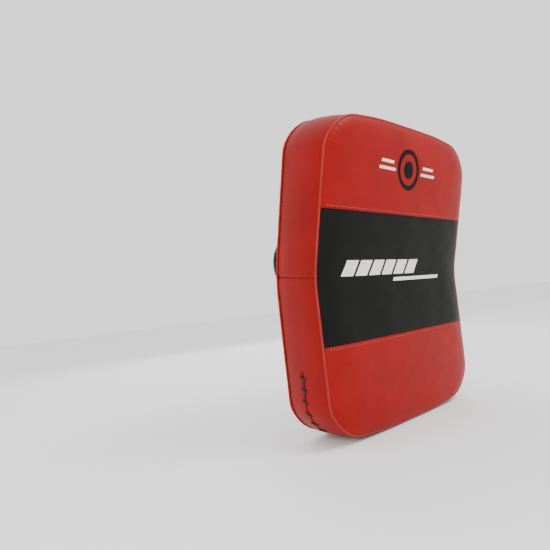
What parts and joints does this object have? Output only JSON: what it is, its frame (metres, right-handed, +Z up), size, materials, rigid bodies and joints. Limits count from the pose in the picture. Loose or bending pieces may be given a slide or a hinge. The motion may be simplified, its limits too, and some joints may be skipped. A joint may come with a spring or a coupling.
{
  "type": "kick shield",
  "caption": "Curved foam-filled kick shield in a sewn red and black cover, with a carrying handle and flexible arm handles riveted to its back.",
  "frame": {"origin": "middle of the flat bottom gusset that the pad stands on", "axes": "+Z up along the pad, -Y the strike face's side, +Y the handles' side, +X to the striker's right"},
  "size_m": [0.4027, 0.2938, 0.5518],
  "materials": {
    "front_red": "satin, fine grain",
    "panel_black": "satin, fine grain",
    "back_red": "satin, fine grain",
    "gusset_red": "satin, fine grain",
    "piping_red": "satin",
    "flap_red": "matte",
    "lace_black": "waxed cord",
    "strike_foam": "open foam",
    "core_foam": "closed-cell foam",
    "rear_board": "firm closed-cell foam",
    "grip_leather": "glossy",
    "rope_core": "twisted rope",
    "tab_leather": "glossy, stitched",
    "rivet_nickel": "domed, polished",
    "patch_leather": "raw"
  },
  "bodies": {
    "pad": {"back_panel": "back_red", "closure_flap": "flap_red", "closure_lace": "lace_black", "foam_core_block": "core_foam", "foam_rear_board": "rear_board", "foam_strike_layer": "strike_foam", "front_panel_lower": "front_red", "front_panel_middle": "panel_black", "front_panel_upper": "front_red", "front_piping": "piping_red", "left_handle_patches": "patch_leather", "left_handle_rivets_a": "rivet_nickel", "left_handle_rivets_b": "rivet_nickel", "left_handle_tab_a": "tab_leather", "left_handle_tab_b": "tab_leather", "left_handle_tongues": "grip_leather", "rear_piping": "piping_red", "right_handle_patches": "patch_leather", "right_handle_rivets_a": "rivet_nickel", "right_handle_rivets_b": "rivet_nickel", "right_handle_tab_a": "tab_leather", "right_handle_tab_b": "tab_leather", "right_handle_tongues": "grip_leather", "side_gusset_lower": "gusset_red", "side_gusset_upper": "gusset_red", "top_handle_patches": "patch_leather", "top_handle_rivets_a": "rivet_nickel", "top_handle_rivets_b": "rivet_nickel", "top_handle_tab_a": "tab_leather", "top_handle_tab_b": "tab_leather", "top_handle_tongues": "grip_leather"},
    "left_handle": {"left_handle_grip_cover": "grip_leather", "left_handle_grip_core": "rope_core"},
    "right_handle": {"right_handle_grip_cover": "grip_leather", "right_handle_grip_core": "rope_core"},
    "top_handle": {"top_handle_grip_cover": "grip_leather", "top_handle_grip_core": "rope_core"}
  },
  "joints": [
    {"name": "left_handle_fold", "type": "hinge", "parent": "pad", "child": "left_handle", "pos_m": [-0.098, 0.0725, 0.19], "axis": [0, -0.1305, 0.9914], "range_deg": [-50, 50], "stiffness_Nm_per_rad": 1.5},
    {"name": "right_handle_fold", "type": "hinge", "parent": "pad", "child": "right_handle", "pos_m": [0.098, 0.0725, 0.19], "axis": [0, -0.1305, 0.9914], "range_deg": [-50, 50], "stiffness_Nm_per_rad": 1.5},
    {"name": "top_handle_fold", "type": "hinge", "parent": "pad", "child": "top_handle", "pos_m": [-0.067, 0.01408, 0.50273], "axis": [1, 0, 0], "range_deg": [-50, 50], "stiffness_Nm_per_rad": 1.5}
  ]
}
